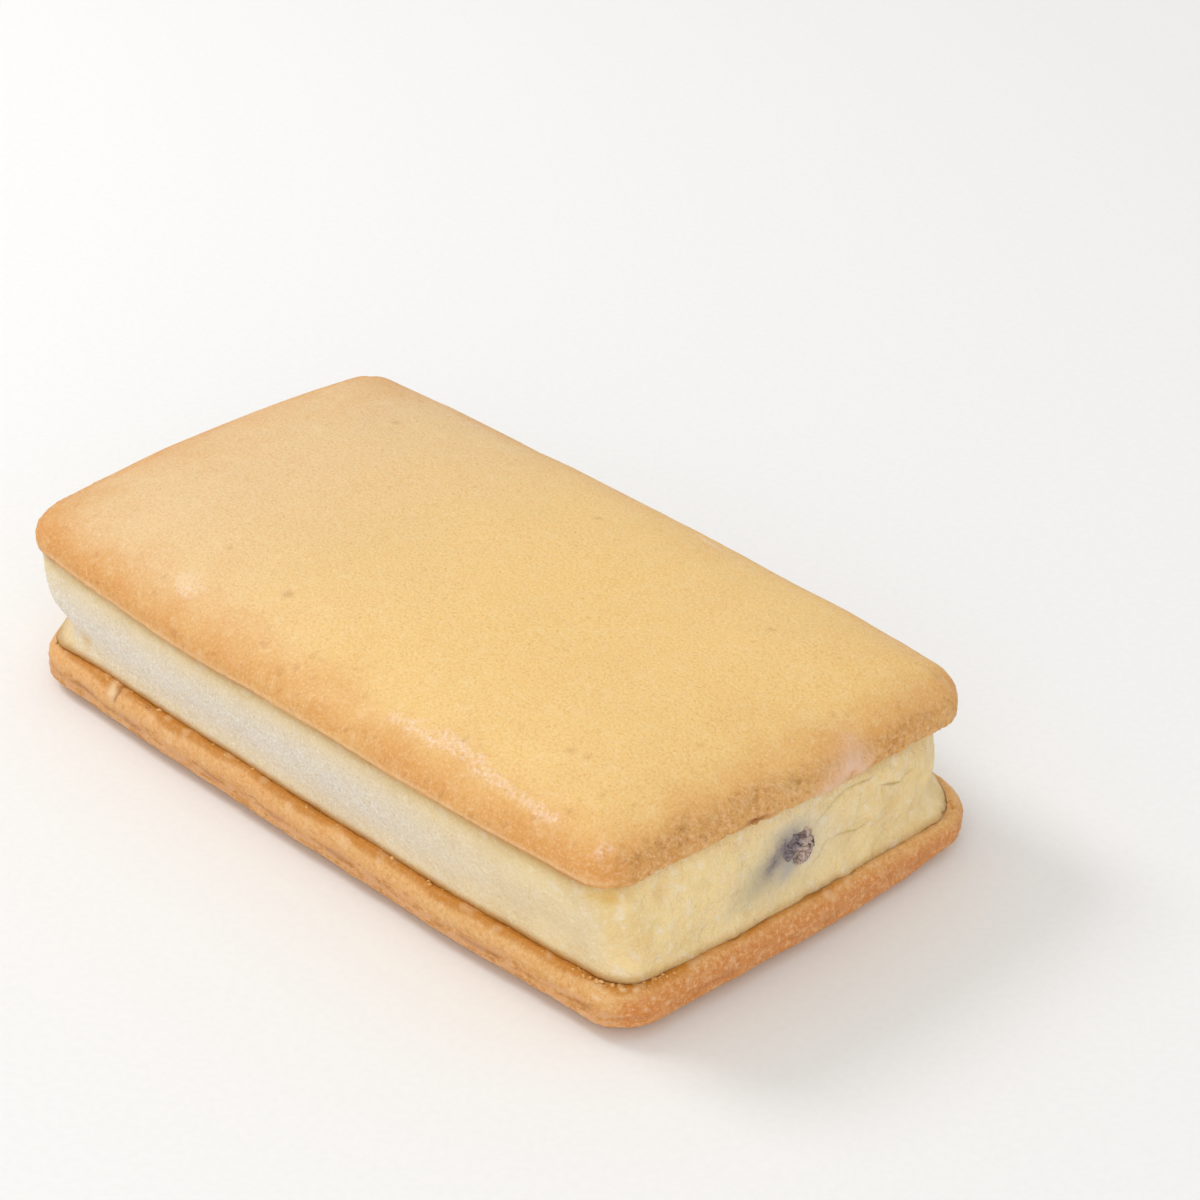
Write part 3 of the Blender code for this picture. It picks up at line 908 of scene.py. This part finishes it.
class SANDWICH_OT_lower_biscuit(Builder, bpy.types.Operator):
    """Builds the lower biscuit: its flat face up, with a ledge, a toasted lip painted brighter where its rounding
    faces up, and streaks along its side
    """

    bl_idname = "sandwich.lower_biscuit"
    bl_label = "Lower biscuit"

    SHOULDER = (0.03, 6)
    SIDE_RINGS = 20
    FLAT_SHARES = (0.996, 0.991, 0.986, 0.981, 0.976, 0.971, 0.966, 0.960, 0.953, 0.944, 0.93, 0.88)
    FACE_SHARE = 0.9  # of the upper biscuit's faces, as its sides need more rings

    def marks(self, spot, place, normal):
        inside = inward(LOWER_PLAN, spot.x, spot.y) if spot.z == -1 else 0
        wall = soft_step(abs(normal.z), 0.80, 0.35)
        height = (place.z - SHIFT.z) / LOWER_TOP + 0.10 * waves(place, 0.0050, 15)
        end = soft_step(abs(normal.x), 0.45, 0.80) * wall
        lip = soft_step(height, 0.50, 0.72)
        into = inside if spot.z == -1 else min(height - 1, 0) * LOWER_TOP
        flake = bell(math.hypot((place.x + 0.0296) / 0.0007, (place.z - 0.0049) / 0.0009)) * (place.y < 0)
        crumbs = soft_step(waves(place, 0.0010, 9), 0.30, 0.50) * soft_step(place.x - place.y, 0.060, 0.070)
        line = bell((height - 0.48) / 0.05) * wall * soft_step(waves(place, 0.0035, 5), -0.1, 0.3)
        far_edge = bell((into - 0.0002) / 0.0003) * soft_step(place.y, 0.0185, 0.0205) * (place.x > 0)
        return {
            # The lip, which faces up, is painted brighter: less baked, and covered by the lip colour
            "baked": 0.58 + 0.52 * end - 0.26 * lip * (1 - end) + 0.12 * waves(place, 0.006, 2),
            "straw": 0.0,
            "rough": 0.50 + 0.18 * wall + 0.10 * end,
            "side": wall * (1 - 0.85 * lip) * (1 - 0.70 * end),
            "lip": 0.85 * lip * (1 - 0.7 * end) * (1 - 0.55 * soft_step(place.x, -0.010, 0.030)),
            "pale": max(0.75 * flake, 0.55 * lip * crumbs, 0.25 * lip * soft_step(waves(place, 0.0016, 9), 0.3, 0.5)),
            "scorch_and_crack_shade": max(0.45 * line * (1 - 0.5 * end), 0.7 * self.crack(place), 0.8 * far_edge),
            # Painted shade and soak in the groove along the ice cream's foot
            "soaked_and_groove_shade": 0.9 * soft_step(into, -0.0008, -0.0001) * (1 - 0.55 * end),
            "smear": 0.0,
            "glaze_and_highlight": 0.0,
        }

    def crack(self, place):
        """A short split down from the lip, beside a pale flake. The split is painted dark as the shade inside it."""
        across = place.x + 0.0288 - 0.25 * (place.z - 0.005)
        return bell(across / 0.00020) * soft_step(place.z, 0.0034, 0.0042) * (place.y < 0)

    def relief(self, place, normal, marks):
        biscuits = self.settings().biscuits
        if normal.z < -0.7:
            return -0.00003 - 0.00003 * waves(place, 0.0020, 6)
        size = biscuits.crumb_size
        stretched = Vector((place.x * 0.2, place.y * 0.2, place.z))
        layers = waves(stretched, 0.0010, 3) + 0.6 * waves(stretched, 0.00045, 5)
        slow = 0.00016 * waves(place, 0.0035, 1)
        crumb = waves(place, size, 4) + 0.5 * waves(place, size * 0.45, 6)
        return (
            slow
            + 0.8 * biscuits.crumb_depth * marks["rough"] * crumb
            + 0.00010 * layers * marks["side"]
            + 0.00012 * marks["pale"]
            - 0.00016 * marks["scorch_and_crack_shade"]
        )

    def execute(self, context):
        biscuits = self.settings().biscuits
        counts = [round(count * self.FACE_SHARE) for count in (biscuits.faces_along, biscuits.faces_across)]
        mesh = slab_mesh(counts, self.SHOULDER, self.SIDE_RINGS, self.FLAT_SHARES)
        shape(mesh, lower_place, self.marks, self.relief)
        material = crust_material("biscuit crust, flat face up", biscuits, streaks=True)
        make_piece("lower_biscuit_crust", mesh, material, "lower_biscuit")
        return {"FINISHED"}


def segment_distance(point, start, stop):
    """From a point to a straight segment, all in two directions."""
    run = stop - start
    share = min(max((point - start).dot(run) / run.length_squared, 0), 1)
    return (point - start - run * share).length


def nearest_crease(place):
    """The distance to the nearest fold of the end face, and 1 above it or -1 below it."""
    spot = Vector((place.y, place.z))
    pairs = [(Vector(a), Vector(b)) for points in CREASES for a, b in zip(points, points[1:])]
    distance, start, stop = min(((segment_distance(spot, a, b), a, b) for a, b in pairs), key=lambda one: one[0])
    turn = (stop.x - start.x) * (spot.y - start.y) - (stop.y - start.y) * (spot.x - start.x)
    return distance, math.copysign(1, turn)


class SANDWICH_OT_ice_cream(Builder, bpy.types.Operator):
    """Builds the ice cream: frosted long sides, smoother ends with folds, and a film over one raisin"""

    bl_idname = "sandwich.ice_cream"
    bl_label = "Ice cream"

    CAP_SHARES = (0.992, 0.98, 0.95, 0.85)

    def marks(self, spot, place, normal):
        side = soft_step(abs(normal.y), 0.75, 0.95)
        along = soft_step(place.x * math.copysign(1, -place.y), 0.040, 0.006)
        corner = bell(math.hypot(place.x + 0.046, place.y + 0.025) / 0.007)
        frost = max(side, 0.8 * corner) * bell((spot.z + 0.10) / 0.80) * (0.30 + 0.70 * along)
        # Softened cream and painted shade near both biscuits
        wet_and_contact_shade = 1.1 * soft_step(spot.z, 0.58, 1.0) + 0.9 * soft_step(spot.z, -0.84, -1.0) * (1 - 0.7 * corner)
        end = soft_step(place.x, 0.040, 0.044)
        distance, above = nearest_crease(place) if end > 0 else (1, 1)
        line = bell(distance / 0.00020) * end
        flap = (math.exp(-distance / 0.0013) if above > 0 else -0.4 * bell(distance / 0.0007)) * end
        stain = max(
            strength * bell((place - Vector((x, y, z))).length / reach) for x, y, z, reach, strength in STAINS
        )
        return {
            "frost": frost,
            "wet_and_contact_shade": wet_and_contact_shade * (1 - 0.25 * along * side),
            "contact_shade": max(bell((spot.z + 1) / 0.12), 0.5 * bell((spot.z - 1) / 0.12)) * (1 - 0.6 * abs(normal.x)),
            "melted": 1 - 0.9 * min(frost * 1.6, 1),
            # The folds' lines, where shade is painted
            "fold": 0.65 * line,
            "flap": flap,
            "yolk": stain,
            "haze": cover(HAZE, place.y, place.z) * end,
            "juice": cover(JUICE, place.y, place.z) * end,
            "trail": cover(TRAIL, place.y, place.z) * end,
            "film": cover(FILM, place.y, place.z) * end,
        }

    def relief(self, place, normal, marks):
        ice_cream = self.settings().ice_cream
        rugged = 0.6 + 1.4 * abs(normal.x)
        lumps = ice_cream.lump_depth * waves(place, ice_cream.lump_size, 3)
        lumps += 0.00008 * waves(place, 0.0021, 5) + 0.00005 * waves(place, 0.0008, 7)
        pits = soft_step(waves(place, 0.0015, 23), 0.30, 0.55) * abs(normal.x)
        lumps = rugged * lumps - 0.00012 * pits
        if place.x > 0.040:
            own = sum(
                height * bell(math.hypot(place.y - y, place.z - z) / reach) for y, z, reach, height in LUMPS
            )
            lumps += 2.6 * own * abs(normal.x)
        puddle = bell((place - Vector((0.0440, -0.0234, 0.0158))).length / 0.0009)
        return lumps + 0.00030 * marks["flap"] - 0.00016 * marks["fold"] + 0.00040 * puddle

    def execute(self, context):
        ice_cream = self.settings().ice_cream
        counts = (ice_cream.faces_along, ice_cream.faces_across)
        mesh = band_mesh(counts, ice_cream.levels, self.CAP_SHARES)
        shape(mesh, ice_cream_place, self.marks, self.relief)
        make_piece("ice_cream_slab", mesh, ice_cream_material(ice_cream), "ice_cream")
        return {"FINISHED"}


class SANDWICH_OT_raisins(Builder, bpy.types.Operator):
    """Builds the two wrinkled raisins that show in the ice cream's sides"""

    bl_idname = "sandwich.raisins"
    bl_label = "Raisins"

    def raisin_mesh(self, raisin):
        raisins = self.settings().raisins
        mesh = bmesh.new()
        bmesh.ops.create_icosphere(mesh, subdivisions=6, radius=1)
        turn = Matrix.Rotation(raisin.turn_about_z, 3, "Z") @ Matrix.Rotation(raisin.turn_about_x, 3, "X")
        fold_layer = mesh.verts.layers.float.new("fold")
        frozen_layer = mesh.verts.layers.float.new("frozen")
        for vertex in mesh.verts:
            outward = vertex.co.normalized()
            dent = abs(noise.noise(outward * 2.1 + Vector((raisin.seed, 0, 0))))
            spot = Vector(a * b for a, b in zip(outward, raisin.half_sizes))
            fold = 1 - abs(waves(spot, raisins.wrinkle_size, raisin.seed)) * 2.2
            fine = 1 - abs(waves(spot, raisins.wrinkle_size * 0.4, raisin.seed + 4)) * 2.2
            # Marks the folds, where shade is painted
            vertex[fold_layer] = soft_step(max(fold, 0.85 * fine), 0.55, 1.0)
            depth = raisins.wrinkle_depth * max(fold, 0) + 0.4 * raisins.wrinkle_depth * max(fine, 0)
            vertex[frozen_layer] = soft_step(outward.y + 0.4 * noise.noise(outward * 2.5), -0.10, -0.55)
            vertex.co = turn @ (spot * (1 - 0.34 * dent) - outward * depth) + raisin.centre + SHIFT
        settle(mesh)
        return mesh

    def execute(self, context):
        material = raisin_material(self.settings().raisins)
        for node, raisin in RAISINS.items():
            make_piece(node + "_fruit", self.raisin_mesh(raisin), material, node)
        return {"FINISHED"}


class SANDWICH_OT_crumbs(Builder, bpy.types.Operator):
    """Scatters loose crumbs on the lower biscuit's ledge, joined into one piece"""

    bl_idname = "sandwich.crumbs"
    bl_label = "Crumbs"

    AT_FRONT_CORNER = 0.25  # the share of the crumbs that lie heaped at one corner

    def ledge_place(self, dice):
        """A random place on the lower biscuit's ledge."""
        inset = dice.uniform(0.0006, 0.0013)
        walk = dice.uniform(-1, 1)
        side = dice.choice((-1, 1))
        spot = (walk, side) if dice.random() < 0.62 else (side, walk)
        if dice.random() < self.AT_FRONT_CORNER:
            spot = (1, dice.uniform(-1, -0.75)) if dice.random() < 0.5 else (dice.uniform(0.86, 1), -1)
        x, y = plan_point(LOWER_PLAN, *spot, inset)
        return Vector((x, y, LOWER_TOP + rise(LEDGE_BUMPS, x, y))) + SHIFT

    def execute(self, context):
        crumbs = self.settings().crumbs
        dice = random.Random(41)
        mesh = bmesh.new()
        for number in range(crumbs.count):
            made = bmesh.ops.create_icosphere(mesh, subdivisions=2, radius=1)["verts"]
            size = crumbs.size * dice.uniform(0.35, 1.3)
            stretch = Vector((dice.uniform(0.7, 1.5), dice.uniform(0.7, 1.2), dice.uniform(0.5, 0.9)))
            place = self.ledge_place(dice)
            turn = Matrix.Rotation(dice.uniform(0, math.tau), 3, "Z")
            for vertex in made:
                lump = 1 + 0.9 * noise.noise(vertex.co * 2.3 + Vector((number, 0, 0)))
                vertex.co = turn @ Vector(a * b * lump * size for a, b in zip(vertex.co, stretch)) + place
        settle(mesh)
        material = crumb_material(self.settings().biscuits)
        make_piece("loose_crumbs", mesh, material)
        return {"FINISHED"}


class SANDWICH_OT_stage(Builder, bpy.types.Operator):
    """Sets up the pale floor, the soft lights and the camera"""

    bl_idname = "sandwich.stage"
    bl_label = "Stage"

    AIM = Vector((0.00294, 0.01357, 0.01394))  # the point that the camera looks at
    FLOOR_RADIUS = 2.5

    def add_floor(self, colour):
        mesh = bmesh.new()
        bmesh.ops.create_circle(mesh, cap_ends=True, radius=self.FLOOR_RADIUS, segments=96)
        data = bpy.data.meshes.new("floor")
        mesh.to_mesh(data)
        mesh.free()
        material, tree, place = new_material("white card, matt")
        shade = paint(tree, tuple(colour), linear("f3f2f0"), spots(tree, place, 0.8 * MM, 0.3, 0.7, detail=2))
        finish_material(tree, {"Base Color": shade, "Roughness": 0.9, "Specular IOR Level": 0.2})
        data.materials.append(material)
        floor = bpy.data.objects.new("floor", data)
        bpy.context.scene.collection.objects.link(floor)

    def add_light(self, name, direction, distance, size, power):
        data = bpy.data.lights.new(name, "AREA")
        data.shape = "DISK"
        data.size = size
        data.energy = power
        lamp = bpy.data.objects.new(name, data)
        lamp.location = Vector(direction).normalized() * distance
        lamp.rotation_euler = Vector(direction).to_track_quat("Z", "Y").to_euler()
        bpy.context.scene.collection.objects.link(lamp)

    def add_camera(self, stage):
        back = Vector(
            (
                math.sin(stage.turn) * math.cos(stage.rise),
                -math.cos(stage.turn) * math.cos(stage.rise),
                math.sin(stage.rise),
            )
        )
        data = bpy.data.cameras.new("camera")
        data.lens = stage.lens
        data.sensor_width = 36
        data.clip_start = 0.01
        camera = bpy.data.objects.new("camera", data)
        camera.location = self.AIM + back * stage.distance
        camera.rotation_euler = back.to_track_quat("Z", "Y").to_euler()
        bpy.context.scene.collection.objects.link(camera)
        bpy.context.scene.camera = camera

    def execute(self, context):
        stage = self.settings().stage
        self.add_floor(stage.floor)
        self.add_light("key softbox", (-0.655, -0.215, 0.725), 0.60, 0.24, stage.key_power)
        self.add_light("fill softbox", (0.70, -0.62, 0.42), 0.70, 0.70, stage.fill_power)
        world = bpy.data.worlds.new("white studio")
        world.use_nodes = True
        world.node_tree.nodes["Background"].inputs["Color"].default_value = (1, 1, 1, 1)
        world.node_tree.nodes["Background"].inputs["Strength"].default_value = stage.sky
        bpy.context.scene.world = world
        bpy.context.scene.view_settings.view_transform = "Standard"
        self.add_camera(stage)
        return {"FINISHED"}


OPERATORS = (
    SANDWICH_OT_lower_biscuit,
    SANDWICH_OT_ice_cream,
    SANDWICH_OT_upper_biscuit,
    SANDWICH_OT_raisins,
    SANDWICH_OT_crumbs,
    SANDWICH_OT_stage,
)


class SANDWICH_PT_panel(bpy.types.Panel):
    """Lists the sandwich's pieces"""

    bl_idname = "SANDWICH_PT_panel"
    bl_label = "Ice Cream Sandwich"
    bl_space_type = "VIEW_3D"
    bl_region_type = "UI"
    bl_category = "Dessert"

    def draw(self, context):
        for operator in OPERATORS:
            self.layout.operator(operator.bl_idname)
        settings = context.scene.ice_cream_sandwich
        for name in ("biscuits", "ice_cream", "raisins", "crumbs", "stage"):
            group = getattr(settings, name)
            box = self.layout.box()
            box.label(text=name.replace("_", " ").capitalize())
            for key in group.__annotations__:
                box.prop(group, key)


CLASSES = (
    BiscuitSettings,
    IceCreamSettings,
    RaisinSettings,
    CrumbSettings,
    StageSettings,
    SandwichSettings,
    *OPERATORS,
    SANDWICH_PT_panel,
)


def register():
    for one in CLASSES:
        bpy.utils.register_class(one)
    bpy.types.Scene.ice_cream_sandwich = PointerProperty(type=SandwichSettings)


def unregister():
    del bpy.types.Scene.ice_cream_sandwich
    for one in reversed(CLASSES):
        bpy.utils.unregister_class(one)


def main():
    register()
    for operator in OPERATORS:
        getattr(bpy.ops.sandwich, operator.bl_idname.split(".")[1])()


if __name__ == "__main__":
    main()
